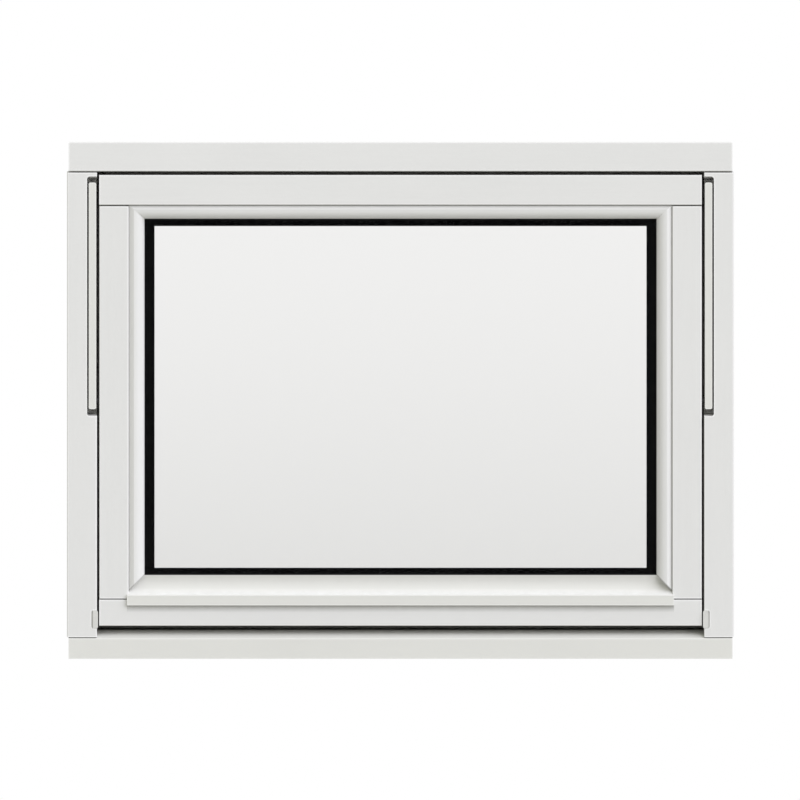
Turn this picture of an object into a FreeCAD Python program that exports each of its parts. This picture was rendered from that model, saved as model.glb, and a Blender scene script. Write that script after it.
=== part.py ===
import FreeCAD, Part
import math
import os
from FreeCAD import Vector

os.makedirs("parts", exist_ok=True)

# Centre pivot window in millimetres: outside toward -Y, sill underside on z = 0, middle of the width on x = 0

# Timber frame
frame_width = 890.0
frame_height = 690.0
frame_depth = 115.0
jamb_face = 40.0
head_face = 39.4
end_setback = 2.0
rebate_depth = 64.0
stop_overlap = 11.0
arris = 1.5
inside_arris = 3.0
joint_groove = 1.7
joint_groove_depth = 8.0
room_groove = 1.0
room_groove_depth = 9.0

# Sill and its metal cover
sill_face = 27.3
sill_slope = 24.0
weathering_depth = 25.0
sill_back_slope = 4.0
cover_thickness = 2.0

# Sash
side_gap = 3.0
top_gap = 4.8
sill_gap = 16.9
sash_setback = 2.0
sash_thickness = 58.0
stile_face = 39.3
top_rail_face = 40.1
bottom_rail_face = 34.7
leg_thickness = 13.0
leg_round = 6.0
floor_rise = 11.0
drip_groove = 4.0
drip_inset = 9.0

# Glazing beads
side_bead_width = 21.1
top_bead_width = 18.4
bead_thickness = 15.0
bead_edge = 3.0
bead_quirk = 4.5
bead_crest = 0.4
crest_share = 0.33
flank_fullness = 0.35

# Weather bead at the foot of the glass
weather_bead_height = 33.1
nose_projection = 4.0
nose_drop = 27.0
nose_face = 13.6
nose_overrun = 2.3
nose_round = 1.5
cove_overhang = 18.0
bead_wall = 2.0

# Sealed double glazing
pane_thickness = 4.0
cavity = 16.0
glass_bite = 13.0
spacer_side = 13.4
spacer_end = 9.7
spacer_inset = 2.0
gasket_thickness = 3.0
gasket_lip = 2.5
gasket_bite = 9.0

# Weather seal on the frame stop
seal_inset = 3.0
seal_width = 6.0
seal_clearance = 0.3

# Hinge arms in their slots
slot_width = 13.2
slot_below_pivot = 21.2
slot_head_gap = 1.9
slot_depth = 28.0
slot_ramp = 4.5
slot_round = 4.0
arm_width = 10.1
arm_inset = 1.0
arm_setback = 1.0
arm_depth = 15.0
arm_head_gap = 8.2
arm_foot_gap = 9.5
arm_round = 2.6
arm_edge = 0.8
pivot_radius = 4.0
pivot_end = 11.0
pivot_bite = 14.0
pivot_clearance = 0.1

# Closing guides at the foot of the jambs
guide_width = 8.9
guide_height = 24.3
guide_drop = 3.6
guide_reach = 1.4
guide_depth = 26.0
guide_proud = 0.6
guide_round = 3.0
guide_rim = 2.0
guide_rim_drop = 1.4

# Fixing holes through the inner part of the jambs
fixing_spacing = 390.0
fixing_radius = 4.0
fixing_inset = 26.0
head_recess_radius = 7.5
head_recess_depth = 8.0

# Handle on the inside of the bottom rail
handle_base_length = 64.0
handle_base_height = 28.0
handle_base_depth = 9.0
neck_radius = 7.0
grip_standoff = 26.0
grip_length = 118.0
grip_height = 18.0
grip_thickness = 10.0
grip_round = 4.0

# Planes that the pieces share
nose_overhang = max(nose_projection - sash_setback, 0)
front = (nose_overhang - frame_depth) / 2
back = front + frame_depth
rebate = front + rebate_depth
half_width = frame_width / 2
jamb_inner = half_width - jamb_face
sash_half = jamb_inner - side_gap
stop_half = sash_half - stop_overlap
head_under = frame_height - head_face
sash_top = head_under - top_gap
sash_bottom = sill_face + sill_gap
head_stop = sash_top - stop_overlap
sill_stop = sash_bottom + stop_overlap
weathering_back = front + weathering_depth
cover_drop = cover_thickness / math.cos(math.radians(sill_slope))
sash_front = front + sash_setback
sash_back = sash_front + sash_thickness
sash_middle = (sash_top + sash_bottom) / 2
slot_bottom = sash_middle - slot_below_pivot
slot_top = sash_top - slot_head_gap
leg_front = sash_back - leg_thickness
face_half = sash_half - stile_face
sight_half = face_half - side_bead_width
top_edge = sash_top - top_rail_face
top_sight = top_edge - top_bead_width
bottom_edge = sash_bottom + bottom_rail_face
bottom_sight = bottom_edge + weather_bead_height
bead_back = sash_front + bead_thickness
outer_glass = bead_back + gasket_thickness
inner_glass = outer_glass + pane_thickness + cavity
mitre_foot = bottom_sight - side_bead_width
bead_lip = bead_back - bead_edge
nose_front = sash_front - nose_projection
nose_top = bottom_sight - nose_drop
nose_half = face_half + nose_overrun
cove_run = bead_lip - nose_front
cove_start = math.radians(-cove_overhang)
cove_sweep = 2 * (math.atan2(cove_run, nose_drop) - cove_start)
cove_radius = math.hypot(cove_run, nose_drop) / (2 * math.sin(cove_sweep / 2))
cove_centre = bead_lip - cove_radius * math.cos(cove_start)
cove_level = bottom_sight + cove_radius * math.sin(cove_start)

AXES = {"x": Vector(1, 0, 0), "y": Vector(0, 1, 0), "z": Vector(0, 0, 1)}


def soften(corners):
    """Outline steps from corners given as (u, v, radius)."""
    steps = []
    for i, (u, v, radius) in enumerate(corners):
        if radius == 0:
            steps.append((u, v))
            continue
        corner = Vector(u, v, 0)
        before = Vector(*corners[i - 1][:2], 0) - corner
        after = Vector(*corners[(i + 1) % len(corners)][:2], 0) - corner
        half = before.getAngle(after) / 2
        before.normalize()
        after.normalize()
        toward = before + after
        toward.normalize()
        start = corner + before * (radius / math.tan(half))
        end = corner + after * (radius / math.tan(half))
        middle = corner + toward * (radius / math.sin(half) - radius)
        steps.append((start.x, start.y))
        steps.append((end.x, end.y, middle.x, middle.y))
    return steps


def run(steps, across, start, end):
    """Pushes a closed outline drawn in two axes from start to end along the third."""
    along = AXES["xyz".replace(across[0], "").replace(across[1], "")]

    def spot(u, v):
        return AXES[across[0]] * u + AXES[across[1]] * v + along * start

    edges = []
    here = spot(*steps[-1][:2])
    for step in steps:
        there = spot(*step[:2])
        if len(step) == 4:
            edges.append(Part.Arc(here, spot(*step[2:]), there).toShape())
        elif here.distanceToPoint(there) > 1e-6:
            edges.append(Part.makeLine(here, there))
        here = there
    return Part.Face(Part.Wire(edges)).extrude(along * (end - start))


def box(x0, x1, y0, y1, z0, z1):
    return Part.makeBox(x1 - x0, y1 - y0, z1 - z0, Vector(x0, y0, z0))


def rod(radius, x0, x1, y, z):
    """A round bar or bore along X."""
    return Part.makeCylinder(radius, x1 - x0, Vector(x0, y, z), AXES["x"])


def pad(x0, x1, z0, z1, radius):
    """Corners of an upright rectangle seen from the front."""
    return [(x0, z0, radius), (x1, z0, radius), (x1, z1, radius), (x0, z1, radius)]


def ring(half, low, high, inner_half, inner_low, inner_high, y0, y1):
    """A flat rectangular frame between two depths."""
    outer = box(-half, half, y0, y1, low, high)
    return outer.cut(box(-inner_half, inner_half, y0, y1, inner_low, inner_high))


def mirrored(shape):
    return shape.mirror(Vector(0, 0, 0), AXES["x"])


def save(name, shape):
    shape.exportStep("parts/" + name + ".step")


# Frame members


def head_steps(soft):
    return soften([
        (front, frame_height, soft), (front, head_under, soft), (rebate, head_under, 0),
        (rebate, head_stop, 0), (back, head_stop, inside_arris), (back, frame_height, 0)])


def sill_top(y):
    """Height of the sill's weathered top at depth y: a steep fall in front, a gentle one behind."""
    steep = min(y - front, weathering_depth)
    gentle = y - front - steep
    return (sill_face + steep * math.tan(math.radians(sill_slope))
            + gentle * math.tan(math.radians(sill_back_slope)))


def sill_steps(soft):
    """The sill's whole section, cover included."""
    return soften([
        (front, 0, 0), (front, sill_face, soft), (weathering_back, sill_top(weathering_back), 0),
        (rebate, sill_top(rebate), 0), (rebate, sill_stop, 0), (back, sill_stop, inside_arris), (back, 0, 0)])


def make_head():
    return run(head_steps(arris), "yz", end_setback - half_width, half_width - end_setback)


def cover_underside():
    """The cover's inner outline, from the rebate forward and down behind the sill's front."""
    inner = front + cover_thickness
    return [
        (rebate, sill_top(rebate) - cover_drop), (weathering_back, sill_top(weathering_back) - cover_drop),
        (inner, sill_top(inner) - cover_drop), (inner, 0)]


def make_sill_cover():
    upper = soften([
        (front, 0, 0), (front, sill_face, arris), (weathering_back, sill_top(weathering_back), 0),
        (rebate, sill_top(rebate), 0)])
    return run(upper + cover_underside(), "yz", end_setback - half_width, half_width - end_setback)


def make_sill():
    whole = run(sill_steps(0), "yz", end_setback - half_width, half_width - end_setback)
    above = [(front - 1, 0), (front - 1, frame_height), (rebate, frame_height)]
    return whole.cut(run(above + cover_underside(), "yz", -half_width, half_width))


def slot_cutter():
    """Routed slot for the left hinge arm, its two ends running out to the face."""
    outer = -jamb_inner - slot_width
    seen = run(soften([
        (outer, slot_bottom, slot_round), (1 - jamb_inner, slot_bottom, 0),
        (1 - jamb_inner, slot_top, 0), (outer, slot_top, slot_round)]),
        "xz", front - 1, front + slot_depth)
    side = run([
        (front, slot_bottom), (front + slot_depth, slot_bottom + slot_ramp),
        (front + slot_depth, slot_top - slot_ramp), (front, slot_top),
        (front - 1, slot_top), (front - 1, slot_bottom)],
        "yz", outer - 1, 2 - jamb_inner)
    return seen.common(side)


def guide_pocket():
    """Pocket for the left closing guide in the jamb's inner edge."""
    inner = guide_reach - jamb_inner
    low = sash_bottom - guide_drop
    steps = soften(pad(inner - guide_width, inner, low, low + guide_height, guide_round))
    return run(steps, "xz", front - guide_proud, front + guide_depth)


def make_left_guide():
    """Left closing guide: a block standing proud, with a lower rim on its outer side."""
    inner = guide_reach - jamb_inner
    outer = inner - guide_width
    low = sash_bottom - guide_drop
    rim = box(outer, outer + guide_rim, front - guide_proud, front + guide_rim_drop, low, low + guide_height)
    return guide_pocket().cut(rim)


def end_grooves(x0, x1, y0, y1, low, high, width):
    """Shadow grooves across both ends of an upright member, where it meets the level ones."""
    return box(x0, x1, y0, y1, low, low + width).fuse(box(x0, x1, y0, y1, high - width, high))


def fixing_heights():
    return [sash_middle - fixing_spacing / 2, sash_middle + fixing_spacing / 2]


def make_left_jamb():
    jamb = run(soften([
        (-half_width, front, arris), (-jamb_inner, front, arris), (-jamb_inner, rebate, 0),
        (-stop_half, rebate, 0), (-stop_half, back, inside_arris), (-half_width, back, 0)]),
        "xy", 0, frame_height)
    jamb = jamb.cut(run(head_steps(0), "yz", -frame_width, frame_width))
    jamb = jamb.cut(run(sill_steps(0), "yz", -frame_width, frame_width))
    jamb = jamb.cut(end_grooves(
        -half_width, -jamb_inner, front, front + joint_groove_depth, sill_face, head_under, joint_groove))
    jamb = jamb.cut(end_grooves(
        -half_width, -stop_half, back - room_groove_depth, back,
        sill_stop - inside_arris, head_stop + inside_arris, inside_arris + room_groove))
    jamb = jamb.cut(slot_cutter())
    jamb = jamb.cut(guide_pocket())
    jamb = jamb.cut(frame_pivot(pivot_radius + pivot_clearance))
    for z in fixing_heights():
        y = back - fixing_inset
        jamb = jamb.cut(rod(fixing_radius, -half_width - 1, 1 - stop_half, y, z))
        jamb = jamb.cut(rod(head_recess_radius, -stop_half - head_recess_depth, 1 - stop_half, y, z))
    return jamb


def make_weather_seal():
    near = seal_inset
    far = seal_inset + seal_width
    return ring(
        sash_half - near, sash_bottom + near, sash_top - near,
        sash_half - far, sash_bottom + far, sash_top - far,
        sash_back + seal_clearance, rebate)


# Hinge arms


def arm_outer():
    return -jamb_inner - arm_inset - arm_width


def arm_axis():
    """Depth of the two pivots."""
    return front + arm_setback + arm_depth / 2


def frame_pivot(radius):
    """Left upper pin: jamb to arm."""
    start = -jamb_inner - slot_width - pivot_bite
    return rod(radius, start, -jamb_inner - arm_inset, arm_axis(), slot_top - arm_head_gap - pivot_end)


def sash_pivot(radius):
    """Left lower pin: arm to sash, at half the sash height."""
    return rod(radius, arm_outer(), pivot_bite - sash_half, arm_axis(), sash_middle)


def make_left_arm():
    inner = -jamb_inner - arm_inset
    y0 = front + arm_setback
    y1 = y0 + arm_depth
    low = slot_bottom + arm_foot_gap
    high = slot_top - arm_head_gap
    seen = run(soften(pad(arm_outer(), inner, low, high, arm_round)), "xz", y0, y1)
    plan = run(soften([
        (arm_outer(), y0, arm_edge), (inner, y0, arm_edge), (inner, y1, 0), (arm_outer(), y1, 0)]),
        "xy", low, high)
    arm = seen.common(plan)
    arm = arm.cut(frame_pivot(pivot_radius + pivot_clearance))
    return arm.cut(sash_pivot(pivot_radius + pivot_clearance))


# Sash members


def top_rail_steps(soft):
    return soften([
        (sash_front, sash_top, soft), (sash_front, top_edge, soft), (leg_front, top_edge, 0),
        (leg_front, top_sight, 0), (sash_back, top_sight, leg_round), (sash_back, sash_top, 0)])


def bottom_rail_steps(soft):
    return soften([
        (sash_front, sash_bottom, soft), (sash_front, bottom_edge, soft),
        (leg_front, bottom_edge + floor_rise, 0), (leg_front, bottom_sight, 0),
        (sash_back, bottom_sight, leg_round), (sash_back, sash_bottom, 0)])


def make_top_rail():
    return run(top_rail_steps(arris), "yz", -sash_half, sash_half)


def make_bottom_rail():
    rail = run(bottom_rail_steps(arris), "yz", -sash_half, sash_half)
    y = sash_front + drip_inset
    groove = box(-sash_half, sash_half, y, y + drip_groove, sash_bottom, sash_bottom + drip_groove)
    return rail.cut(groove)


def make_left_stile():
    stile = run(soften([
        (-sash_half, sash_front, arris), (-face_half, sash_front, arris), (-face_half, leg_front, 0),
        (-sight_half, leg_front, 0), (-sight_half, sash_back, leg_round), (-sash_half, sash_back, 0)]),
        "xy", sash_bottom, sash_top)
    stile = stile.cut(run(top_rail_steps(0), "yz", -frame_width, frame_width))
    stile = stile.cut(run(bottom_rail_steps(0), "yz", -frame_width, frame_width))
    stile = stile.cut(end_grooves(
        -sash_half, -face_half, sash_front, sash_front + joint_groove_depth,
        bottom_edge, top_edge, joint_groove))
    stile = stile.cut(end_grooves(
        -sash_half, -sight_half, sash_back - room_groove_depth, sash_back,
        bottom_sight - leg_round, top_sight + leg_round, leg_round + room_groove))
    return stile.cut(sash_pivot(pivot_radius + pivot_clearance))


# Glazing beads


def fall(across, drop):
    """Half-way point of an arc that starts level and falls by drop over the distance across."""
    radius = (across ** 2 + drop ** 2) / (2 * drop)
    half = math.atan2(abs(across), radius - drop) / 2
    return math.copysign(radius * math.sin(half), across), radius * (1 - math.cos(half))


def bead_steps(outer, inner):
    """Moulded bead section from the timber edge at outer to the sight line at inner."""
    crest = outer + (inner - outer) * crest_share
    top = sash_front + bead_crest
    foot = sash_front + bead_quirk
    full_u, full_v = fall(outer - crest, foot - top)
    flat_u, flat_v = (outer - crest) / 2, (foot - top) / 2
    flank_u = crest + flat_u + (full_u - flat_u) * flank_fullness
    flank_v = top + flat_v + (full_v - flat_v) * flank_fullness
    slope_u, slope_v = fall(inner - crest, bead_lip - top)
    return [
        (outer, bead_back), (outer, foot), (crest, top, flank_u, flank_v),
        (inner, bead_lip, crest + slope_u, top + slope_v),
        (inner, bead_back)]


def wedge(corners):
    """Mitre cutter seen from the front."""
    return run(corners, "xz", nose_front - 1, back)


def make_left_bead():
    bead = run(bead_steps(-face_half, -sight_half), "xy", mitre_foot, top_edge)
    bead = bead.cut(wedge([(-face_half, top_edge), (-sight_half, top_sight), (-sight_half, top_edge)]))
    return bead.cut(wedge([(-face_half, mitre_foot), (-sight_half, bottom_sight), (-sight_half, mitre_foot)]))


def make_top_bead():
    bead = run(bead_steps(top_edge, top_sight), "zy", -face_half, face_half)
    for side in (-1, 1):
        bead = bead.cut(wedge([
            (side * face_half, top_edge), (side * sight_half, top_sight), (side * face_half, top_sight)]))
    return bead


def weather_bead_floor(y):
    """Height of the bottom rail's sloped rebate at depth y."""
    return bottom_edge + floor_rise * (y - sash_front) / (leg_front - sash_front)


def cove_point(turn, inset):
    """Point on the cove where its face leans back by turn, set in from the surface."""
    reach = cove_radius + inset
    return cove_centre + reach * math.cos(turn), cove_level - reach * math.sin(turn)


def weather_bead_solid():
    """The whole bead with solid ends, mitred to the side beads and clear of the stiles."""
    last = math.acos((nose_front + nose_round - cove_centre) / cove_radius)
    low = nose_top - nose_face
    bead = run([
        (bead_back, weather_bead_floor(bead_back)), (bead_back, bottom_sight), (bead_lip, bottom_sight),
        (*cove_point(last, 0), *cove_point((cove_start + last) / 2, 0)),
        (nose_front, nose_top - nose_round, nose_front + nose_round * 0.3, nose_top + nose_round * 0.15),
        (nose_front, low), (sash_front, low), (sash_front, bottom_edge)],
        "yz", -nose_half, nose_half)
    stile = box(face_half, frame_width, sash_front, back, low - 1, bottom_sight)
    mitre = wedge([
        (sight_half, bottom_sight), (face_half, mitre_foot),
        (nose_half + 1, mitre_foot), (nose_half + 1, bottom_sight)])
    for cutter in (stile, mirrored(stile), mitre, mirrored(mitre)):
        bead = bead.cut(cutter)
    return bead


def weather_bead_hollow():
    """Chamber of the extruded bead, one wall thickness inside its outline."""
    inner = bead_back - bead_wall
    reach = cove_radius + bead_wall
    first = math.acos((inner - cove_centre) / reach)
    last = math.acos((sash_front - cove_centre) / reach)
    return run([
        (inner, weather_bead_floor(inner) + bead_wall), cove_point(first, bead_wall),
        (*cove_point(last, bead_wall), *cove_point((first + last) / 2, bead_wall)),
        (sash_front, weather_bead_floor(sash_front) + bead_wall)],
        "yz", -frame_width, frame_width)


def make_weather_bead():
    return weather_bead_solid().cut(weather_bead_hollow())


# Sealed glazing


def make_pane(y):
    low = bottom_sight - glass_bite
    return box(
        -sight_half - glass_bite, sight_half + glass_bite, y, y + pane_thickness,
        low, top_sight + glass_bite)


def make_spacer():
    cover = glass_bite - spacer_inset
    return ring(
        sight_half + cover, bottom_sight - cover, top_sight + cover,
        sight_half - spacer_side, bottom_sight + spacer_end, top_sight - spacer_end,
        outer_glass + pane_thickness, inner_glass)


def make_gasket(y):
    return ring(
        sight_half + gasket_bite, bottom_sight - gasket_bite, top_sight + gasket_bite,
        sight_half - gasket_lip, bottom_sight + gasket_lip, top_sight - gasket_lip,
        y, y + gasket_thickness)


# Handle


def handle_height():
    return (sill_stop + bottom_sight) / 2


def make_handle_base():
    z = handle_height()
    half = handle_base_length / 2
    rise = handle_base_height / 2
    corners = pad(-half, half, z - rise, z + rise, handle_base_height * 0.45)
    return run(soften(corners), "xz", sash_back, sash_back + handle_base_depth)


def make_handle_lever():
    z = handle_height()
    y0 = sash_back + handle_base_depth
    y1 = y0 + grip_standoff
    y2 = y1 + grip_thickness
    x0 = -grip_height / 2
    neck = Part.makeCylinder(neck_radius, y1 + grip_thickness / 2 - y0, Vector(0, y0, z), AXES["y"])
    corners = pad(x0, x0 + grip_length, z - grip_height / 2, z + grip_height / 2, grip_height * 0.45)
    seen = run(soften(corners), "xz", y1, y2)
    plan = run(soften([
        (x0, y1, grip_round), (x0 + grip_length, y1, grip_round),
        (x0 + grip_length, y2, grip_round), (x0, y2, grip_round)]), "xy", z - grip_height, z + grip_height)
    return neck.fuse(seen.common(plan)).removeSplitter()


left_jamb = make_left_jamb()
left_arm = make_left_arm()
left_stile = make_left_stile()
left_bead = make_left_bead()

save("frame_head", make_head())
save("frame_sill", make_sill())
save("sill_cover", make_sill_cover())
save("left_jamb", left_jamb)
save("right_jamb", mirrored(left_jamb))
save("weather_seal", make_weather_seal())
save("left_closing_guide", make_left_guide())
save("right_closing_guide", mirrored(make_left_guide()))
save("left_hinge_arm", left_arm)
save("right_hinge_arm", mirrored(left_arm))
save("left_frame_pivot", frame_pivot(pivot_radius))
save("right_frame_pivot", mirrored(frame_pivot(pivot_radius)))
save("left_sash_pivot", sash_pivot(pivot_radius))
save("right_sash_pivot", mirrored(sash_pivot(pivot_radius)))
save("sash_top_rail", make_top_rail())
save("sash_bottom_rail", make_bottom_rail())
save("sash_left_stile", left_stile)
save("sash_right_stile", mirrored(left_stile))
save("top_glazing_bead", make_top_bead())
save("left_glazing_bead", left_bead)
save("right_glazing_bead", mirrored(left_bead))
save("bottom_weather_bead", make_weather_bead())
save("outer_pane", make_pane(outer_glass))
save("inner_pane", make_pane(inner_glass))
save("glass_spacer", make_spacer())
save("outer_glazing_gasket", make_gasket(bead_back))
save("inner_glazing_gasket", make_gasket(inner_glass + pane_thickness))
save("handle_base", make_handle_base())
save("handle_lever", make_handle_lever())
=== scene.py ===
import math

import bmesh
import bpy
from bpy.props import FloatProperty, FloatVectorProperty, IntProperty, PointerProperty
from mathutils import Matrix, Vector


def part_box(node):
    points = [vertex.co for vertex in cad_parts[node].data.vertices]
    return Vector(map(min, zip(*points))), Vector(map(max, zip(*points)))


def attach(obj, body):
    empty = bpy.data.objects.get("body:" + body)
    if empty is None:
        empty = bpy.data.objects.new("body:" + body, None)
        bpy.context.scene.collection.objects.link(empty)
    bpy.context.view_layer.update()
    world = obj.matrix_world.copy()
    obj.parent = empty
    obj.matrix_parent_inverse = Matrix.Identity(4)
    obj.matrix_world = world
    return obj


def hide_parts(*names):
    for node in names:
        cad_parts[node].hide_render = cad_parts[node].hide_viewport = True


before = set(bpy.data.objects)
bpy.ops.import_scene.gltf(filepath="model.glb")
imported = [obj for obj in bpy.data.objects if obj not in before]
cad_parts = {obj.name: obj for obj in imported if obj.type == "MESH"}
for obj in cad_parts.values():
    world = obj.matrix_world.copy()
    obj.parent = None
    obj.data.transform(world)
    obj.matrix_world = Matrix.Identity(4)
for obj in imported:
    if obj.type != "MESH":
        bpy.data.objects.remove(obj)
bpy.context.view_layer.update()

bl_info = {
    "name": "Centre pivot window finish",
    "version": (1, 0, 0),
    "blender": (4, 5, 0),
    "location": "3D View > Sidebar > Pivot window",
    "description": "Paint, glass, seals, fittings and a studio stage for a white timber centre pivot window",
    "category": "Object",
}

# Timber members by the way their grain and brush marks run; the bottom rail has a finish of its own, which
# carries the painted shadow under the weather bead
members_across = ["frame_head", "frame_sill", "sash_top_rail"]
members_upright = ["left_jamb", "right_jamb", "sash_left_stile", "sash_right_stile"]

# Scales that draw a pattern out along one direction
along_x = (0.05, 1.0, 1.0)
along_z = (1.0, 1.0, 0.05)

# Specular level of paint and powder coat, which are rather matt
paint_gloss = 0.15

# Share of a painted shade band or joint line that is dense before it fades
dense_share = 0.4

# Sections of the handle's grip from bend to tip: place along it, half height and half depth, as shares
grip_sections = [
    (0.14, 0.86, 1.08), (0.30, 0.98, 0.98), (0.55, 1.00, 0.92), (0.80, 0.94, 0.88),
    (0.93, 0.86, 0.84), (0.985, 0.66, 0.68), (1.00, 0.34, 0.36),
]

# Distance under which two points count as one
touching = 1e-6

# Turns a shape that is made along Z to point into the room
into_room = Matrix.Rotation(math.radians(-90), 4, "X")

white = (1.0, 1.0, 1.0, 1.0)


# Settings that a user would change


def colour(name, description, default):
    return FloatVectorProperty(
        name=name, description=description, subtype="COLOR", size=3, min=0.0, max=1.0, default=default)


def length(name, description, default):
    return FloatProperty(
        name=name, description=description, unit="LENGTH", min=0.0, precision=5, default=default)


def share(name, description, default):
    return FloatProperty(
        name=name, description=description, subtype="FACTOR", min=0.0, max=1.0, default=default)


def brightness(name, description, default):
    return FloatProperty(name=name, description=description, min=0.0, default=default)


def direction(name, description, default):
    return FloatVectorProperty(
        name=name, description=description, subtype="DIRECTION", size=3, default=default)


class WindowFinish(bpy.types.PropertyGroup):
    """Colours, dust, dirt, painted highlights, painted shade and surface depths of the window's finishes"""

    timber_paint: colour("Timber paint", "White paint on frame, sash and beads", (0.752, 0.752, 0.736))
    # The arris colours are painted highlights: lighter colour along the arrises that stands in for light
    # catching them
    arris_highlight_paint: colour("Arris paint", "Paint along the polished arrises", (0.88, 0.88, 0.87))
    arris_highlight_coat: colour("Arris coat", "Powder coat along the metal's arrises", (0.79, 0.79, 0.76))
    coated_metal: colour("Coated metal", "Powder coat on sill cover and weather bead", (0.736, 0.736, 0.698))
    arm_coat: colour("Arm coat", "Powder coat on the hinge arms", (0.722, 0.722, 0.684))
    guide_plastic: colour("Guide plastic", "Moulded plastic of the closing guides", (0.66, 0.66, 0.63))
    rubber: colour("Rubber", "Extruded rubber of seal and gaskets", (0.004, 0.004, 0.004))
    spacer: colour("Spacer", "Warm edge spacer between the panes", (0.002, 0.002, 0.002))
    handle_metal: colour("Handle metal", "Satin metal of the handle", (0.40, 0.40, 0.385))
    screw_steel: colour("Screw steel", "Darker steel of the handle screws", (0.20, 0.20, 0.20))
    pivot_steel: colour("Pivot steel", "Dark phosphated steel of the arm pivots", (0.03, 0.03, 0.03))
    dust: colour("Dust", "Fine dust on faces that look up", (0.50, 0.47, 0.41))
    # Lighter colour that paints a highlight on the weather bead's faces that look up
    top_highlight: colour("Chalk", "Coat bleached by the weather on the weather bead", (0.93, 0.93, 0.92))
    # One dark colour: painted shade in crevices, under the weather bead and on beads, and the dark mitre
    # joint line
    shade_and_grime: colour("Shade and grime", "Dirt in joints and slots and under edges", (0.16, 0.155, 0.14))
    # The outer pane's colours, lighter at the head and darker at the foot, paint a reflection of the sky
    glass_head_with_reflection: colour("Glass head", "Tint of the outer pane near the top rail", (0.910, 0.908, 0.902))
    glass_foot_with_reflection: colour("Glass foot", "Tint of the outer pane near the weather bead", (0.781, 0.780, 0.770))
    # The inner pane's colour darkens only slightly towards the foot
    inner_head: colour("Inner head", "Tint of the inner pane near the top rail", (0.960, 0.960, 0.958))
    inner_foot: colour("Inner foot", "Tint of the inner pane near the handle", (0.955, 0.955, 0.953))
    glass_shadow: colour("Glass shadow", "Light that a pane lets through to the rest", (0.93, 0.94, 0.93))

    light_dust: share("Light dust", "Dust on the timber and the hinge arms", 0.03)
    sill_dust: share("Sill dust", "Dust on the sill cover", 0.05)
    # How much of that painted highlight lies on the top of the weather bead
    nose_highlight: share("Nose chalk", "How far the top of the weather bead is bleached", 0.95)
    mitre_grime: share("Mitre grime", "Dirt in the joint at the foot of the upright beads", 0.45)
    # Amounts of painted shade: on the top bead's slope, on the weather bead along the glass, and the painted
    # shadow on the bottom rail under the weather bead
    bead_shade_amount: share("Bead grime", "Dirt on the slope of the top bead", 0.20)
    cove_shade_amount: share("Cove grime", "Dirt on the weather bead along the glass", 0.16)
    drip_shadow_amount: share("Drip grime", "Dirt on the bottom rail under the weather bead", 0.36)

    # How far the painted arris highlight reaches from an arris
    arris_highlight_width: length("Arris width", "How far the polish reaches from an arris", 0.0036)
    # Reaches of the painted shade: how narrow a joint, groove or slot has to be, and on the sill cover how
    # low the gap under the sash has to be for its painted shadow
    shade_reach: length("Grime reach", "How narrow a joint has to be to hold dirt", 0.012)
    sill_shade_reach: length("Sill grime reach", "How low a gap over the sill has to be to hold dirt", 0.030)
    mitre_line: length("Mitre line", "Width of the joint line at the foot of the upright beads", 0.002)
    # How far those painted shade bands reach downwards
    bead_shade_reach: length("Bead dirt", "How far dirt reaches down the slope of the top bead", 0.009)
    cove_shade_reach: length("Cove dirt", "How far dirt reaches from the glass down the weather bead", 0.020)
    drip_shadow_reach: length("Drip dirt", "How far dirt reaches below the nose of the weather bead", 0.0095)
    brush_depth: length("Brush depth", "Depth of the brush marks in the paint", 0.00012)
    peel_depth: length("Peel depth", "Depth of the orange peel in the powder coat", 0.00010)


class WindowFittings(bpy.types.PropertyGroup):
    """Sizes of the handle, its screws and the weather seal"""

    plate_edge: length("Plate edge", "Rounding of the handle plate's front edge", 0.0028)
    collar_radius: length("Collar radius", "Radius of the collar under the handle's neck", 0.0095)
    collar_height: length("Collar height", "Height of that collar", 0.003)
    neck_radius: length("Neck radius", "Radius of the handle's neck", 0.0066)
    bend_radius: length("Bend radius", "Radius of the bend from neck to grip", 0.012)
    grip_half_depth: length("Grip half depth", "Half the depth of the handle's grip", 0.005)
    screw_radius: length("Screw radius", "Radius of the handle screws' heads", 0.0033)
    screw_spacing: length("Screw spacing", "Distance between the two handle screws", 0.043)
    seal_width: length("Seal width", "Width of the weather seal's bulb", 0.006)
    round_steps: IntProperty(name="Round steps", description="Steps round a small circle", min=8, default=32)


class WindowStage(bpy.types.PropertyGroup):
    """Light, floor and camera"""

    soft_light: brightness("Soft light", "Even light from all sides", 0.71)
    soft_colour: colour("Soft colour", "Colour of the even light", (1.0, 1.0, 0.93))
    lamp_colour: colour("Lamp colour", "Colour of the two lamps", (0.885, 0.885, 1.0))
    lamp_spread: FloatProperty(
        name="Lamp spread", description="Angle that each lamp fills", subtype="ANGLE",
        default=math.radians(60))
    key_light: brightness("Key light", "Strength of the lamp outside", 2.17)
    key_from: direction("Key from", "Direction from the window to the lamp outside", (0.60, -0.60, 0.52))
    fill_light: brightness("Fill light", "Strength of the room side lamp", 0.96)
    fill_from: direction("Fill from", "Direction from the window to the room side lamp", (-0.30, 0.90, 0.30))
    floor_size: length("Floor size", "Width of the floor", 12.0)
    floor_colour: colour("Floor colour", "Pale floor as the camera sees it", (0.72, 0.72, 0.72))
    floor_bounce: colour("Floor bounce", "Floor as it lights the window from below", (0.50, 0.50, 0.46))
    picture_width: length("Picture width", "Width that the square picture shows", 1.0674)
    picture_middle: FloatVectorProperty(
        name="Picture middle", description="Point in the middle of the picture", subtype="TRANSLATION",
        size=3, default=(-0.00067, 0.0, 0.3455))
    camera_distance: length("Camera distance", "Distance from the window to the camera", 3.0)


# Node helpers


def feed(tree, socket, value):
    """Links an output to a socket, or writes a plain value on it."""
    if isinstance(value, bpy.types.NodeSocket):
        tree.links.new(value, socket)
    else:
        socket.default_value = value


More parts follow.
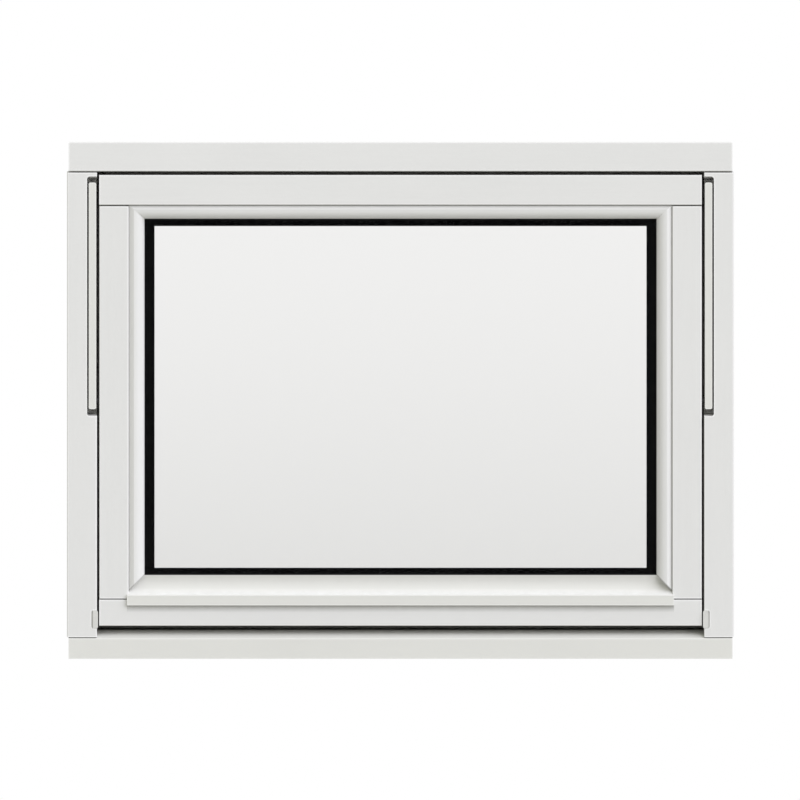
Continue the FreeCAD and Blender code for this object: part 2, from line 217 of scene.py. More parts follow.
def maths(tree, operation, *values):
    made = tree.nodes.new("ShaderNodeMath")
    made.operation = operation
    for socket, value in zip(made.inputs, values):
        feed(tree, socket, value)
    return made.outputs[0]


def product(tree, first, *others):
    for other in others:
        first = maths(tree, "MULTIPLY", first, other)
    return first


def noise(tree, vector, scale, detail=2.0, roughness=0.5, distortion=0.0):
    """Noise with so many waves a metre."""
    made = tree.nodes.new("ShaderNodeTexNoise")
    feed(tree, made.inputs["Vector"], vector)
    made.inputs["Scale"].default_value = scale
    made.inputs["Detail"].default_value = detail
    made.inputs["Roughness"].default_value = roughness
    made.inputs["Distortion"].default_value = distortion
    return made.outputs[0]


def remap(tree, value, low, high, to_low, to_high):
    made = tree.nodes.new("ShaderNodeMapRange")
    feed(tree, made.inputs["Value"], value)
    feed(tree, made.inputs["From Min"], low)
    feed(tree, made.inputs["From Max"], high)
    feed(tree, made.inputs["To Min"], to_low)
    feed(tree, made.inputs["To Max"], to_high)
    return made.outputs["Result"]


def spread(tree, pattern, to_low, to_high):
    """Spreads noise, which mostly lies between 0.3 and 0.7, over a range."""
    return remap(tree, pattern, 0.3, 0.7, to_low, to_high)


def blend(tree, mask, first, second):
    made = tree.nodes.new("ShaderNodeMix")
    made.data_type = "RGBA"
    feed(tree, made.inputs[0], mask)
    feed(tree, made.inputs[6], first)
    feed(tree, made.inputs[7], second)
    return made.outputs[2]


def shade(tree, tone, value):
    """The same colour, made lighter or darker."""
    made = tree.nodes.new("ShaderNodeHueSaturation")
    feed(tree, made.inputs["Color"], tone)
    feed(tree, made.inputs["Value"], value)
    return made.outputs["Color"]


def split(tree, vector):
    """The X, Y and Z of a vector."""
    made = tree.nodes.new("ShaderNodeSeparateXYZ")
    feed(tree, made.inputs[0], vector)
    return made.outputs


def geometry(tree, kind):
    return tree.nodes.new("ShaderNodeNewGeometry").outputs[kind]


def object_place(tree):
    """The object coordinates that every pattern uses."""
    return tree.nodes.new("ShaderNodeTexCoord").outputs["Object"]


def stretched(tree, place, along):
    """Coordinates drawn out along one direction, for grain and brush marks."""
    made = tree.nodes.new("ShaderNodeMapping")
    feed(tree, made.inputs["Vector"], place)
    made.inputs["Scale"].default_value = along
    return made.outputs["Vector"]


def solid(tone):
    return (*tone, 1.0)


# Effects that several finishes share, each built once as a shader group


def build_brushed_paint(tree, given, result):
    """Paint laid on with a brush: streaks, the grain that shows through, and soft mottling."""
    streaks = noise(tree, given["Grain"], 1100.0, detail=3.0, roughness=0.6)
    grain = noise(tree, given["Grain"], 210.0, detail=4.0, roughness=0.55, distortion=0.4)
    film = noise(tree, given["Place"], 900.0, detail=1.0)
    mottle = noise(tree, given["Place"], 7.0, detail=3.0)
    light = product(
        tree, spread(tree, mottle, 0.988, 1.010), spread(tree, streaks, 0.992, 1.006),
        remap(tree, grain, 0.35, 0.65, 0.994, 1.004))
    feed(tree, result["Colour"], shade(tree, given["Colour"], light))
    feed(tree, result["Roughness"], spread(tree, streaks, 0.57, 0.71))
    height = maths(tree, "ADD", product(tree, grain, 0.9), product(tree, streaks, 0.35))
    feed(tree, result["Height"], maths(tree, "ADD", height, product(tree, film, 0.15)))


def build_powder_coat(tree, given, result):
    """Baked powder coat: orange peel and a very fine speckle."""
    peel = noise(tree, given["Place"], 620.0, detail=1.5, roughness=0.45)
    speckle = noise(tree, given["Place"], 3200.0, detail=1.0)
    mottle = noise(tree, given["Place"], 9.0)
    light = product(
        tree, remap(tree, speckle, 0.25, 0.75, 0.982, 1.016), spread(tree, mottle, 0.992, 1.007))
    feed(tree, result["Colour"], shade(tree, given["Colour"], light))
    feed(tree, result["Roughness"], spread(tree, peel, 0.48, 0.58))
    feed(tree, result["Height"], maths(tree, "ADD", peel, product(tree, speckle, 0.12)))


def build_fine_skin(tree, given, result):
    """Skin of moulded plastic, extruded rubber or treated steel: a fine even grain and a little bloom."""
    grain = noise(tree, given["Place"], 2400.0, roughness=0.55)
    bloom = noise(tree, given["Place"], 38.0, detail=3.0)
    light = product(tree, spread(tree, grain, 0.96, 1.04), spread(tree, bloom, 0.97, 1.03))
    feed(tree, result["Colour"], shade(tree, given["Colour"], light))
    feed(tree, result["Roughness"], spread(tree, bloom, given["Smoothest"], given["Roughest"]))
    feed(tree, result["Height"], grain)


def build_satin_metal(tree, given, result):
    """Metal brushed one way, with long fine scratches."""
    lines = noise(tree, given["Grain"], 4200.0, detail=3.0, roughness=0.65)
    haze = noise(tree, given["Place"], 55.0)
    light = product(tree, spread(tree, lines, 0.94, 1.05), spread(tree, haze, 0.97, 1.02))
    feed(tree, result["Colour"], shade(tree, given["Colour"], light))
    feed(tree, result["Roughness"], spread(tree, lines, 0.26, 0.40))
    feed(tree, result["Height"], lines)


def build_dust_and_top_highlight(tree, given, result):
    """Thin patchy dust on faces that look up; given a light colour, the same mask paints a highlight on
    them.
    """
    upward = split(tree, geometry(tree, "Normal"))["Z"]
    level = remap(tree, upward, 0.55, 1.0, 0.0, 1.0)
    clouds = noise(tree, given["Place"], 70.0, detail=5.0, roughness=0.65)
    patches = remap(tree, clouds, 0.35, 0.75, 0.5, 1.0)
    mask = product(tree, level, patches, given["Amount"])
    feed(tree, result["Colour"], blend(tree, mask, given["Colour"], given["Dust"]))


def build_painted_arris_highlight(tree, given, result):
    """Painted highlight: a finish made lighter along the arrises, except on faces that look sideways."""
    rounded = tree.nodes.new("ShaderNodeBevel")
    rounded.samples = 8
    feed(tree, rounded.inputs["Radius"], given["Width"])
    turn = tree.nodes.new("ShaderNodeVectorMath")
    turn.operation = "DOT_PRODUCT"
    feed(tree, turn.inputs[0], rounded.outputs["Normal"])
    feed(tree, turn.inputs[1], geometry(tree, "Normal"))
    # Near an arris the rounded normal leans away from the face's own
    edge = remap(tree, turn.outputs["Value"], 0.998, 0.955, 0.0, 1.0)
    sideways = maths(tree, "ABSOLUTE", split(tree, geometry(tree, "True Normal"))["X"])
    # The mask lays the lighter colour of a painted highlight along the arrises
    mask = product(tree, edge, remap(tree, sideways, 0.7, 0.95, 1.0, 0.0))
    feed(tree, result["Colour"], blend(tree, mask, given["Colour"], given["Edge"]))


def build_painted_crevice_shade(tree, given, result):
    """Painted shade deep in joints, grooves and slots: darker colour where the surroundings close in."""
    shelter = tree.nodes.new("ShaderNodeAmbientOcclusion")
    shelter.samples = 8
    feed(tree, shelter.inputs["Distance"], given["Reach"])
    # The painted shade starts where about a third of the surroundings is open, and never covers the finish
    # fully
    deep = remap(tree, shelter.outputs["AO"], 0.36, 0.10, 0.0, 0.75)
    patches = spread(tree, noise(tree, given["Place"], 120.0, detail=3.0), 0.85, 1.0)
    mask = product(tree, deep, patches)
    feed(tree, result["Colour"], blend(tree, mask, given["Colour"], given["Shade and grime"]))


def build_painted_shade_band(tree, given, result):
    """Painted shade along an outer edge, densest at one height and gone at another."""
    place = split(tree, given["Place"])
    fade = remap(tree, place["Z"], given["Densest at"], given["Gone at"], given["Amount"], 0.0)
    outside = remap(tree, split(tree, geometry(tree, "Normal"))["Y"], -0.2, -0.5, 0.0, 1.0)
    within = maths(tree, "LESS_THAN", maths(tree, "ABSOLUTE", place["X"]), given["Half width"])
    patches = spread(tree, noise(tree, given["Place"], 90.0, detail=3.0), 0.85, 1.0)
    mask = product(tree, fade, outside, within, patches)
    feed(tree, result["Colour"], blend(tree, mask, given["Colour"], given["Shade and grime"]))


# Kinds of socket, and the outputs of a whole surface and of an effect that only changes its colour
a_vector = "NodeSocketVector"
a_value = "NodeSocketFloat"
a_colour = "NodeSocketColor"
surface = {"Colour": a_colour, "Roughness": a_value, "Height": a_value}
tinted = {"Colour": a_colour}

# Each group's builder, inputs and outputs
group_plans = {
    "Brushed paint": (
        build_brushed_paint, {"Place": a_vector, "Grain": a_vector, "Colour": a_colour}, surface),
    "Powder coat": (build_powder_coat, {"Place": a_vector, "Colour": a_colour}, surface),
    "Fine skin": (
        build_fine_skin,
        {"Place": a_vector, "Colour": a_colour, "Smoothest": a_value, "Roughest": a_value}, surface),
    "Satin metal": (
        build_satin_metal, {"Grain": a_vector, "Place": a_vector, "Colour": a_colour}, surface),
    "Settled dust and top highlight": (
        build_dust_and_top_highlight,
        {"Place": a_vector, "Colour": a_colour, "Dust": a_colour, "Amount": a_value}, tinted),
    "Painted arris highlight": (build_painted_arris_highlight, {"Colour": a_colour, "Edge": a_colour, "Width": a_value}, tinted),
    "Painted crevice shade": (
        build_painted_crevice_shade,
        {"Place": a_vector, "Colour": a_colour, "Shade and grime": a_colour, "Reach": a_value}, tinted),
    "Painted shade band": (
        build_painted_shade_band,
        {"Place": a_vector, "Colour": a_colour, "Shade and grime": a_colour, "Densest at": a_value, "Gone at": a_value,
         "Half width": a_value, "Amount": a_value}, tinted),
}


def make_group(name):
    """Builds a shader group with its named sockets."""
    build, inputs, outputs = group_plans[name]
    tree = bpy.data.node_groups.new(name, "ShaderNodeTree")
    for way, sockets in (("INPUT", inputs), ("OUTPUT", outputs)):
        for label, kind in sockets.items():
            tree.interface.new_socket(label, in_out=way, socket_type=kind)
    build(tree, tree.nodes.new("NodeGroupInput").outputs, tree.nodes.new("NodeGroupOutput").inputs)
    return tree


def place_group(tree, name, values):
    """Puts a shared effect in a material and fills its inputs."""
    made = tree.nodes.new("ShaderNodeGroup")
    made.node_tree = bpy.data.node_groups.get(name) or make_group(name)
    for label, value in values.items():
        feed(tree, made.inputs[label], value)
    return made.outputs


# Finishes


def start_material(name):
    """A material with the inputs of its Principled shader, and the coordinates that its patterns use."""
    made = bpy.data.materials.new(name)
    made.use_nodes = True
    tree = made.node_tree
    return made, tree, tree.nodes["Principled BSDF"].inputs, object_place(tree)


def add_bump(tree, shader, height, depth, strength):
    made = tree.nodes.new("ShaderNodeBump")
    made.inputs["Strength"].default_value = strength
    made.inputs["Distance"].default_value = depth
    feed(tree, made.inputs["Height"], height)
    feed(tree, shader["Normal"], made.outputs["Normal"])


def dress(nodes, material):
    """Gives CAD nodes a finish."""
    for name in nodes:
        for slot in bpy.data.objects[name].material_slots:
            slot.material = material


def timber_material(name, along, settings, highlighted):
    """Brushed paint, with or without a painted highlight along the arrises, and with painted shade deep in
    joints and slots.
    """
    made, tree, shader, place = start_material(name)
    film = place_group(tree, "Brushed paint", {
        "Place": place, "Grain": stretched(tree, place, along), "Colour": solid(settings.timber_paint)})
    top = place_group(tree, "Settled dust and top highlight", {
        "Place": place, "Colour": film["Colour"], "Dust": solid(settings.dust),
        "Amount": settings.light_dust})
    if highlighted:
        top = place_group(tree, "Painted arris highlight", {
            "Colour": top["Colour"], "Edge": solid(settings.arris_highlight_paint), "Width": settings.arris_highlight_width})
    # Painted shade deep in joints, grooves and slots
    top = place_group(tree, "Painted crevice shade", {
        "Place": place, "Colour": top["Colour"], "Shade and grime": solid(settings.shade_and_grime),
        "Reach": settings.shade_reach})
    feed(tree, shader["Base Color"], top["Colour"])
    feed(tree, shader["Roughness"], film["Roughness"])
    shader["Specular IOR Level"].default_value = paint_gloss
    add_bump(tree, shader, film["Height"], settings.brush_depth, strength=0.35)
    return made


def coated_material(name, tone, dust_and_top_highlight, amount, reach, settings):
    """Powder coat with a colour laid on the faces that look up (dust, and on the weather bead a painted
    highlight), painted highlights along the arrises, and painted shade in gaps up to a certain reach.
    """
    made, tree, shader, place = start_material(name)
    coat = place_group(tree, "Powder coat", {"Place": place, "Colour": solid(tone)})
    top = place_group(tree, "Settled dust and top highlight", {
        "Place": place, "Colour": coat["Colour"], "Dust": solid(dust_and_top_highlight), "Amount": amount})
    top = place_group(tree, "Painted arris highlight", {
        "Colour": top["Colour"], "Edge": solid(settings.arris_highlight_coat), "Width": settings.arris_highlight_width})
    # Painted shade in gaps up to the given reach
    top = place_group(tree, "Painted crevice shade", {
        "Place": place, "Colour": top["Colour"], "Shade and grime": solid(settings.shade_and_grime), "Reach": reach})
    feed(tree, shader["Base Color"], top["Colour"])
    feed(tree, shader["Roughness"], coat["Roughness"])
    shader["Specular IOR Level"].default_value = paint_gloss
    add_bump(tree, shader, coat["Height"], settings.peel_depth, strength=0.35)
    return made


def draw_painted_shade_band(material, edge, reach, half_width, amount, settings):
    """Lays painted shade over a finish, from the height of an edge downwards, dense at first and then
    fading.
    """
    tree = material.node_tree
    base = tree.nodes["Principled BSDF"].inputs["Base Color"]
    band = place_group(tree, "Painted shade band", {
        "Place": object_place(tree), "Colour": base.links[0].from_socket, "Shade and grime": solid(settings.shade_and_grime),
        "Densest at": edge - reach * dense_share, "Gone at": edge - reach, "Half width": half_width,
        "Amount": amount})
    feed(tree, base, band["Colour"])


def draw_mitre_line(material, low, high, settings):
    """Marks the joint at the foot of the upright beads, at 45 degrees from their outer corners."""
    tree = material.node_tree
    base = tree.nodes["Principled BSDF"].inputs["Base Color"]
    place = split(tree, object_place(tree))
    outer = max(abs(low.x), abs(high.x))
    inward = maths(tree, "SUBTRACT", outer, maths(tree, "ABSOLUTE", place["X"]))
    upward = maths(tree, "SUBTRACT", place["Z"], low.z)
    away = maths(tree, "ABSOLUTE", maths(tree, "SUBTRACT", inward, upward))
    dense = settings.mitre_line * dense_share
    mask = remap(tree, away, dense, settings.mitre_line, settings.mitre_grime, 0.0)
    feed(tree, base, blend(tree, mask, base.links[0].from_socket, solid(settings.shade_and_grime)))


def skin_material(name, tone, smoothest, roughest, gloss, depth):
    """Plastic, rubber or treated steel with a fine grain."""
    made, tree, shader, place = start_material(name)
    skin = place_group(tree, "Fine skin", {
        "Place": place, "Colour": solid(tone), "Smoothest": smoothest, "Roughest": roughest})
    feed(tree, shader["Base Color"], skin["Colour"])
    feed(tree, shader["Roughness"], skin["Roughness"])
    shader["Specular IOR Level"].default_value = gloss
    add_bump(tree, shader, skin["Height"], depth, strength=0.3)
    return made


def metal_material(name, tone, along):
    """Bare metal with fine scratches."""
    made, tree, shader, place = start_material(name)
    metal = place_group(tree, "Satin metal", {
        "Grain": stretched(tree, place, along), "Place": place, "Colour": solid(tone)})
    feed(tree, shader["Base Color"], metal["Colour"])
    feed(tree, shader["Roughness"], metal["Roughness"])
    shader["Metallic"].default_value = 1.0
    add_bump(tree, shader, metal["Height"], depth=0.00002, strength=0.3)
    return made


def glass_material(name, tone_head, tone_foot, low, high, settings):
    """Float glass whose colour darkens downwards, on the outer pane a painted reflection of the sky, with
    faint smears and no dark shadow.
    """
    made, tree, shader, place = start_material(name)
    below_head = remap(tree, split(tree, place)["Z"], high.z, low.z, 0.0, 1.0)
    # The power makes the painted darkening grow slowly at first
    depth = maths(tree, "POWER", below_head, 1.5)
    feed(tree, shader["Base Color"], blend(tree, depth, solid(tone_head), solid(tone_foot)))
    smears = noise(tree, stretched(tree, place, (1.0, 1.0, 0.4)), 16.0, detail=4.0, roughness=0.6)
    feed(tree, shader["Roughness"], remap(tree, smears, 0.5, 0.8, 0.0, 0.012))
    shader["Transmission Weight"].default_value = 1.0
    # A low index keeps the reflections faint, so that the spacer stays dark behind the pane
    shader["IOR"].default_value = 1.15
    ripple = noise(tree, place, 5.0, detail=1.0)
    add_bump(tree, shader, ripple, depth=0.0004, strength=0.1)
    clear = tree.nodes.new("ShaderNodeBsdfTransparent")
    clear.inputs["Color"].default_value = solid(settings.glass_shadow)
    path = tree.nodes.new("ShaderNodeLightPath")
    mix = tree.nodes.new("ShaderNodeMixShader")
    feed(tree, mix.inputs[0], path.outputs["Is Shadow Ray"])
    feed(tree, mix.inputs[1], tree.nodes["Principled BSDF"].outputs["BSDF"])
    feed(tree, mix.inputs[2], clear.outputs["BSDF"])
    feed(tree, tree.nodes["Material Output"].inputs["Surface"], mix.outputs["Shader"])
    return made


# Mesh helpers


def corners(box):
    """Lowest and highest corner of a box, as vectors."""
    low, high = box
    return Vector(low), Vector(high)


def edges_of(geom):
    return [part for part in geom if isinstance(part, bmesh.types.BMEdge)]


def verts_of(geom):
    return [part for part in geom if isinstance(part, bmesh.types.BMVert)]


def ring_edges(ring):
    return {edge for vert in ring["verts"] for edge in vert.link_edges}


def front_edges(bm, y):
    """Edges that lie as far into the room as y."""
    return [edge for edge in bm.edges if min(vert.co.y for vert in edge.verts) > y - touching]


def round_edges(bm, edges, offset, segments):
    bmesh.ops.bevel(
        bm, geom=edges, offset=offset, affect="EDGES", segments=segments, profile=0.5, material=-1,
        clamp_overlap=True)


def finish_piece(bm, name, material, smooth=True):
    """Turns a bmesh into a piece of the window that rides on its frame."""
    bmesh.ops.remove_doubles(bm, verts=bm.verts, dist=touching)
    bmesh.ops.recalc_face_normals(bm, faces=bm.faces)
    for face in bm.faces:
        face.smooth = smooth
    mesh = bpy.data.meshes.new(name)
    bm.to_mesh(mesh)
    bm.free()
    mesh.materials.append(material)
    piece = bpy.data.objects.new(name, mesh)
    bpy.context.scene.collection.objects.link(piece)
    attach(piece, "root")
    return piece


def add_subdivision(piece, levels):
    made = piece.modifiers.new("Rounding", "SUBSURF")
    made.levels = levels
    made.render_levels = levels


# Pieces


class WINDOW_OT_paint_timber(bpy.types.Operator):
    """Paint the frame, the sash and the timber beads, with the brush marks along each member, painted
    highlights along the arrises and painted shade in joints, on the top bead and under the weather bead
    """

    bl_idname = "pivot_window.paint_timber"
    bl_label = "Paint the timber"

    def execute(self, context):
        settings = context.scene.window_finish
        dress(members_across, timber_material("White paint across", along_x, settings, highlighted=True))
        dress(members_upright, timber_material("White paint upright", along_z, settings, highlighted=True))
        self.paint_bottom_rail(settings)
        self.paint_beads(settings)
        return {"FINISHED"}

    def paint_bottom_rail(self, settings):
        nose_low, nose_high = corners(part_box("bottom_weather_bead"))
        paint = timber_material("Rail paint with painted shadow", along_x, settings, highlighted=True)
        # Painted shadow of the weather bead's nose on the bottom rail
        draw_painted_shade_band(paint, nose_low.z, settings.drip_shadow_reach, nose_high.x, settings.drip_shadow_amount, settings)
        dress(["sash_bottom_rail"], paint)

    def paint_beads(self, settings):
        high = corners(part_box("top_glazing_bead"))[1]
        across = timber_material("Bead paint across with painted shade", along_x, settings, highlighted=False)
        # Painted shade on the slope of the top bead
        draw_painted_shade_band(across, high.z, settings.bead_shade_reach, high.x, settings.bead_shade_amount, settings)
        dress(["top_glazing_bead"], across)
        upright = timber_material("Bead paint upright", along_z, settings, highlighted=False)
        draw_mitre_line(upright, *corners(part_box("left_glazing_bead")), settings)
        dress(["left_glazing_bead", "right_glazing_bead"], upright)


class WINDOW_OT_coat_metal(bpy.types.Operator):
    """Powder coat the sill cover, the weather bead and the hinge arms, with painted highlights along the
    arrises and on the weather bead's top, and painted shade in gaps and along the glass
    """

    bl_idname = "pivot_window.coat_metal"
    bl_label = "Coat the metal"

    def execute(self, context):
        settings = context.scene.window_finish
        # On the sill cover the wider reach paints the sash's shadow in the gap over the sill
        dress(["sill_cover"], coated_material(
            "Coated sill", settings.coated_metal, settings.dust, settings.sill_dust,
            settings.sill_shade_reach, settings))
        # The weather bead gets a painted highlight on its faces that look up
        bead_with_top_highlight = coated_material(
            "Weather bead with painted top highlight", settings.coated_metal, settings.top_highlight, settings.nose_highlight,
            settings.shade_reach, settings)
        high = corners(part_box("bottom_weather_bead"))[1]
        # Painted shade on the weather bead along the glass
        draw_painted_shade_band(bead_with_top_highlight, high.z, settings.cove_shade_reach, high.x, settings.cove_shade_amount, settings)
        dress(["bottom_weather_bead"], bead_with_top_highlight)
        dress(["left_hinge_arm", "right_hinge_arm"], coated_material(
            "Coated arm", settings.arm_coat, settings.dust, settings.light_dust,
            settings.shade_reach, settings))
        return {"FINISHED"}


class WINDOW_OT_fit_hardware(bpy.types.Operator):
    """Finish the closing guides and the pivots of the hinge arms"""

    bl_idname = "pivot_window.fit_hardware"
    bl_label = "Finish guides and pivots"

    def execute(self, context):
        settings = context.scene.window_finish
        plastic = skin_material(
            "Guide plastic", settings.guide_plastic, smoothest=0.42, roughest=0.55, gloss=0.4, depth=0.00006)
        dress(["left_closing_guide", "right_closing_guide"], plastic)
        steel = skin_material(
            "Phosphated steel", settings.pivot_steel, smoothest=0.45, roughest=0.65, gloss=0.2,
            depth=0.00004)
        dress(["left_frame_pivot", "right_frame_pivot", "left_sash_pivot", "right_sash_pivot"], steel)
        return {"FINISHED"}


class WINDOW_OT_glaze(bpy.types.Operator):
    """Finish the two panes, the spacer between them and the glazing gaskets"""

    bl_idname = "pivot_window.glaze"
    bl_label = "Glaze the sash"

    def execute(self, context):
        settings = context.scene.window_finish
        low, high = corners(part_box("outer_pane"))
        dress(["outer_pane"], glass_material(
            "Outer glass", settings.glass_head_with_reflection, settings.glass_foot_with_reflection, low, high, settings))
        dress(["inner_pane"], glass_material(
            "Inner glass", settings.inner_head, settings.inner_foot, low, high, settings))
        dress(["glass_spacer"], skin_material(
            "Black spacer", settings.spacer, smoothest=0.7, roughest=0.85, gloss=0.03, depth=0.00008))
        rubber = skin_material(
            "Black rubber", settings.rubber, smoothest=0.6, roughest=0.8, gloss=0.08, depth=0.00006)
        dress(["outer_glazing_gasket", "inner_glazing_gasket"], rubber)
        return {"FINISHED"}


class WINDOW_OT_fit_seal(bpy.types.Operator):
    """Lay a rubber bulb seal round the frame's stop, mitred at its corners"""

    bl_idname = "pivot_window.fit_seal"
    bl_label = "Fit the weather seal"

    def execute(self, context):
        sizes = context.scene.window_fittings
        low, high = corners(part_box("weather_seal"))
        middle = (low + high) / 2
        half_width = sizes.seal_width / 2
        reach = (high - low) / 2
        depth = Vector((0.0, reach.y, 0.0))
        bm = bmesh.new()
        loops = []
        for side, rise in ((-1, -1), (1, -1), (1, 1), (-1, 1)):
            across = Vector((side * half_width, 0.0, rise * half_width))
            corner = Vector((side * (reach.x - half_width), 0.0, rise * (reach.z - half_width)))
            place = Matrix((across, depth, across.cross(depth))).transposed().to_4x4()
            place.translation = middle + corner
            ring = bmesh.ops.create_circle(bm, segments=sizes.round_steps, radius=1.0, matrix=place)
            loops.append(ring_edges(ring))
        for this, following in zip(loops, loops[1:] + loops[:1]):
            bmesh.ops.bridge_loops(bm, edges=list(this | following))
        rubber = bpy.data.materials["Black rubber"]
        seal = finish_piece(bm, "weather_seal_bulb", rubber)
        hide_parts("weather_seal")
        return {"FINISHED"}


class WINDOW_OT_fit_handle(bpy.types.Operator):
    """Model the handle: plate, collar, bent grip and two screws"""

    bl_idname = "pivot_window.fit_handle"
    bl_label = "Fit the handle"

    def execute(self, context):
        settings = context.scene.window_finish
        sizes = context.scene.window_fittings
        metal = metal_material("Satin handle", settings.handle_metal, along=(0.04, 1.0, 1.0))
        self.make_plate(sizes, metal)
        self.make_collar(sizes, metal)
        self.make_grip(sizes, metal)
        steel = metal_material("Screw steel", settings.screw_steel, along=(1.0, 1.0, 1.0))
        self.make_screws(sizes, steel)
        return {"FINISHED"}

    def plate_front(self):
        """Middle of the handle plate's front face."""
        low, high = corners(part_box("handle_base"))
        return Vector((0.0, high.y, (low.z + high.z) / 2))

    def make_plate(self, sizes, metal):
        low, high = corners(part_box("handle_base"))
        size = high - low
        corner_radius = size.z * 0.45
        bm = bmesh.new()
        place = Matrix.Translation((low + high) / 2) @ Matrix.Diagonal((*size, 1.0))
        bmesh.ops.create_cube(bm, size=1.0, matrix=place)
        deep = [edge for edge in bm.edges if abs(edge.verts[0].co.y - edge.verts[1].co.y) > size.y / 2]
        round_edges(bm, deep, corner_radius, segments=12)
        round_edges(bm, front_edges(bm, high.y), sizes.plate_edge, segments=5)
        plate = finish_piece(bm, "handle_plate", metal)
        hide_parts("handle_base")

    def make_collar(self, sizes, metal):
        foot = self.plate_front()
        rise = Vector((0.0, sizes.collar_height, 0.0))
        top_radius = sizes.collar_radius * 0.94
        rim_radius = sizes.collar_height * 0.3
        bm = bmesh.new()
        bmesh.ops.create_cone(
            bm, cap_ends=True, segments=sizes.round_steps, radius1=sizes.collar_radius, radius2=top_radius,
            depth=sizes.collar_height, matrix=Matrix.Translation(foot + rise / 2) @ into_room)
        round_edges(bm, front_edges(bm, (foot + rise).y), rim_radius, segments=4)
        finish_piece(bm, "handle_collar", metal)

    def make_grip(self, sizes, metal):
        low, high = corners(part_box("handle_lever"))
        middle = (low + high) / 2
        grip_y = high.y - sizes.grip_half_depth
        bend_y = grip_y - sizes.bend_radius
        grip_half_height = (high.z - low.z) / 2
        bm = bmesh.new()
        place = Matrix.Translation((0.0, low.y, middle.z)) @ into_room
        ring = bmesh.ops.create_circle(bm, segments=16, radius=sizes.neck_radius, matrix=place)
        edges = list(ring_edges(ring))
        bmesh.ops.edgeloop_fill(bm, edges=edges)
        neck = bmesh.ops.extrude_edge_only(bm, edges=edges)["geom"]
        bmesh.ops.translate(bm, verts=verts_of(neck), vec=(0.0, bend_y - low.y, 0.0))
        bend = bmesh.ops.spin(
            bm, geom=verts_of(neck) + edges_of(neck), cent=(sizes.bend_radius, bend_y, middle.z),
            axis=(0.0, 0.0, 1.0), angle=math.radians(-90), steps=6)
        edges = edges_of(bend["geom_last"])
        last_x = sizes.bend_radius
        last_height = last_depth = sizes.neck_radius
        to_axis = Matrix.Translation((0.0, -grip_y, -middle.z))
        for along, height_share, depth_share in grip_sections:
            next_x = sizes.bend_radius + (high.x - sizes.bend_radius) * along
            height = grip_half_height * height_share
            depth = sizes.grip_half_depth * depth_share
            section = bmesh.ops.extrude_edge_only(bm, edges=edges)["geom"]
            edges = edges_of(section)
            bmesh.ops.translate(bm, verts=verts_of(section), vec=(next_x - last_x, 0.0, 0.0))
            bmesh.ops.scale(
                bm, verts=verts_of(section), space=to_axis,
                vec=(1.0, depth / last_depth, height / last_height))
            last_x, last_height, last_depth = next_x, height, depth
        bmesh.ops.edgeloop_fill(bm, edges=edges)
        grip = finish_piece(bm, "handle_grip", metal)
        add_subdivision(grip, 2)
        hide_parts("handle_lever")

    def make_screws(self, sizes, steel):
        """Screw heads with a star-shaped socket: every other half lobe of its rim is drawn in."""
        lobes = 6
        lobe_steps = 6
        lobe_waist = 0.74
        head_top = sizes.screw_radius * 0.86
        head_height = sizes.screw_radius * 0.3
        socket_rim = sizes.screw_radius * 0.36
        socket_depth = sizes.screw_radius * 0.25
        bm = bmesh.new()
        for side in (-1, 1):
            centre = self.plate_front() + Vector((side * sizes.screw_spacing / 2, 0.0, 0.0))
            head = bmesh.ops.create_cone(
                bm, cap_ends=True, segments=lobes * lobe_steps, radius1=sizes.screw_radius, radius2=head_top,
                depth=head_height, matrix=Matrix.Translation(centre) @ into_room)
            faces = {face for vert in head["verts"] for face in vert.link_faces}
            top = max(faces, key=lambda face: face.calc_center_median().y)
            bmesh.ops.inset_region(bm, faces=[top], thickness=socket_rim, use_even_offset=True)
            waists = [vert for index, vert in enumerate(top.verts) if index % lobe_steps < lobe_steps / 2]
            bmesh.ops.scale(
                bm, verts=waists, space=Matrix.Translation(-centre), vec=(lobe_waist, 1.0, lobe_waist))
            drop = bmesh.ops.extrude_discrete_faces(bm, faces=[top])
            bmesh.ops.translate(bm, verts=drop["faces"][0].verts, vec=(0.0, -socket_depth, 0.0))
        finish_piece(bm, "handle_screws", steel, smooth=False)


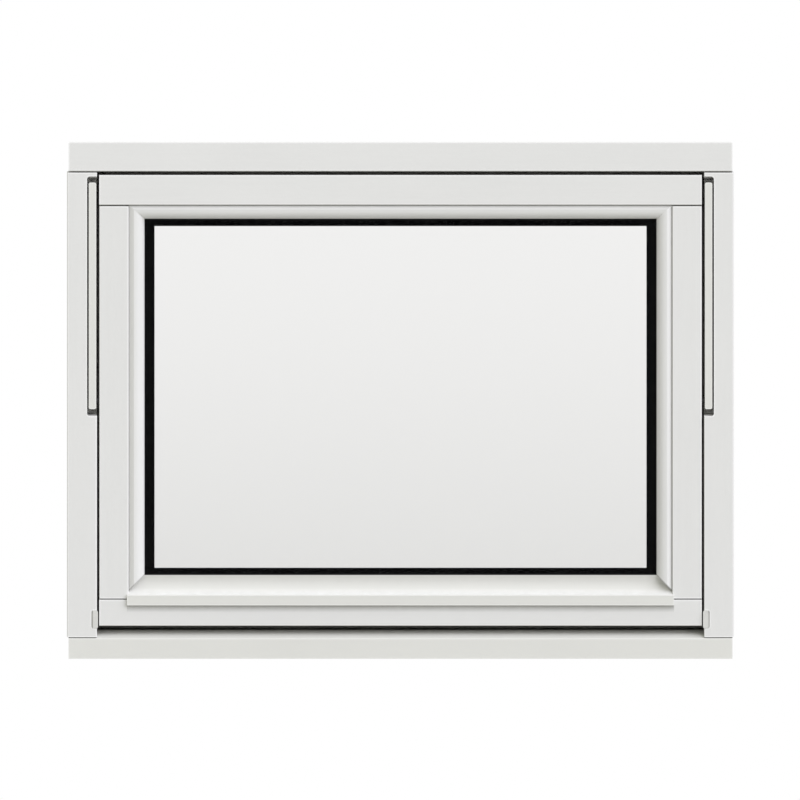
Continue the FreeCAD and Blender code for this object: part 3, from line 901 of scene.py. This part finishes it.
class WINDOW_OT_set_stage(bpy.types.Operator):
    """Set the floor, the soft light, two lamps and a camera square to the outside of the window"""

    bl_idname = "pivot_window.set_stage"
    bl_label = "Set the stage"

    def execute(self, context):
        stage = context.scene.window_stage
        self.make_floor(context, stage)
        self.make_world(context, stage)
        self.make_lamp(context, stage, "soft_key", stage.key_light, stage.key_from)
        self.make_lamp(context, stage, "room_fill", stage.fill_light, stage.fill_from)
        self.make_camera(context, stage)
        context.scene.view_settings.view_transform = "Standard"
        return {"FINISHED"}

    def background_rays(self, tree):
        """One where the ray comes from the camera, a reflection or glass, else nought."""
        path = tree.nodes.new("ShaderNodeLightPath").outputs
        seen = maths(tree, "MAXIMUM", path["Is Camera Ray"], path["Is Glossy Ray"])
        return maths(tree, "MAXIMUM", seen, path["Is Transmission Ray"])

    def make_floor(self, context, stage):
        bm = bmesh.new()
        bmesh.ops.create_grid(bm, x_segments=4, y_segments=4, size=stage.floor_size / 2)
        mesh = bpy.data.meshes.new("studio_floor")
        bm.to_mesh(mesh)
        bm.free()
        floor = bpy.data.objects.new("studio_floor", mesh)
        context.scene.collection.objects.link(floor)
        made, tree, shader, place = start_material("Pale floor")
        faint = spread(tree, noise(tree, place, 3.0), 0.99, 1.01)
        tone = blend(tree, self.background_rays(tree), solid(stage.floor_bounce), solid(stage.floor_colour))
        feed(tree, shader["Base Color"], shade(tree, tone, faint))
        shader["Roughness"].default_value = 0.9
        shader["Specular IOR Level"].default_value = 0.0
        mesh.materials.append(made)

    def make_world(self, context, stage):
        """Soft light on the window, and plain white where the camera, a reflection or glass sees it."""
        world = bpy.data.worlds.new("Soft light")
        world.use_nodes = True
        tree = world.node_tree
        lit = tree.nodes["Background"]
        seen = self.background_rays(tree)
        feed(tree, lit.inputs["Color"], blend(tree, seen, solid(stage.soft_colour), white))
        feed(tree, lit.inputs["Strength"], remap(tree, seen, 0.0, 1.0, stage.soft_light, 1.0))
        context.scene.world = world

    def make_lamp(self, context, stage, name, energy, come_from):
        data = bpy.data.lights.new(name, "SUN")
        data.energy = energy
        data.color = stage.lamp_colour
        data.angle = stage.lamp_spread
        lamp = bpy.data.objects.new(name, data)
        toward = Vector(come_from).normalized()
        # A sun lights by its direction alone, so its place only shows where the light comes from
        lamp.location = toward * stage.camera_distance
        lamp.rotation_euler = toward.to_track_quat("Z", "Y").to_euler()
        lamp.visible_transmission = False
        context.scene.collection.objects.link(lamp)

    def make_camera(self, context, stage):
        data = bpy.data.cameras.new("outside_view")
        data.type = "ORTHO"
        data.ortho_scale = stage.picture_width
        camera = bpy.data.objects.new("outside_view", data)
        camera.location = Vector(stage.picture_middle) - Vector((0.0, stage.camera_distance, 0.0))
        camera.rotation_euler = (math.radians(90), 0.0, 0.0)
        context.scene.collection.objects.link(camera)
        context.scene.camera = camera


class WINDOW_PT_finish(bpy.types.Panel):
    """Lists the steps and settings of the window's finish"""

    bl_idname = "WINDOW_PT_finish"
    bl_label = "Pivot window"
    bl_space_type = "VIEW_3D"
    bl_region_type = "UI"
    bl_category = "Pivot window"

    def draw(self, context):
        layout = self.layout
        for step in steps:
            layout.operator(step.bl_idname)
        for name in settings_groups:
            box = layout.box()
            group = getattr(context.scene, name)
            for label in group.bl_rna.properties.keys():
                if label not in ("name", "rna_type"):
                    box.prop(group, label)


settings_groups = {
    "window_finish": WindowFinish,
    "window_fittings": WindowFittings,
    "window_stage": WindowStage,
}
steps = [
    WINDOW_OT_paint_timber,
    WINDOW_OT_coat_metal,
    WINDOW_OT_fit_hardware,
    WINDOW_OT_glaze,
    WINDOW_OT_fit_seal,
    WINDOW_OT_fit_handle,
    WINDOW_OT_set_stage,
]
classes = [*settings_groups.values(), *steps, WINDOW_PT_finish]


def register():
    for made in classes:
        bpy.utils.register_class(made)
    for name, group in settings_groups.items():
        setattr(bpy.types.Scene, name, PointerProperty(type=group))


def unregister():
    for name in settings_groups:
        delattr(bpy.types.Scene, name)
    for made in reversed(classes):
        bpy.utils.unregister_class(made)


def main():
    register()
    bpy.ops.pivot_window.paint_timber()
    bpy.ops.pivot_window.coat_metal()
    bpy.ops.pivot_window.fit_hardware()
    bpy.ops.pivot_window.glaze()
    bpy.ops.pivot_window.fit_seal()
    bpy.ops.pivot_window.fit_handle()
    bpy.ops.pivot_window.set_stage()


if __name__ == "__main__":
    main()
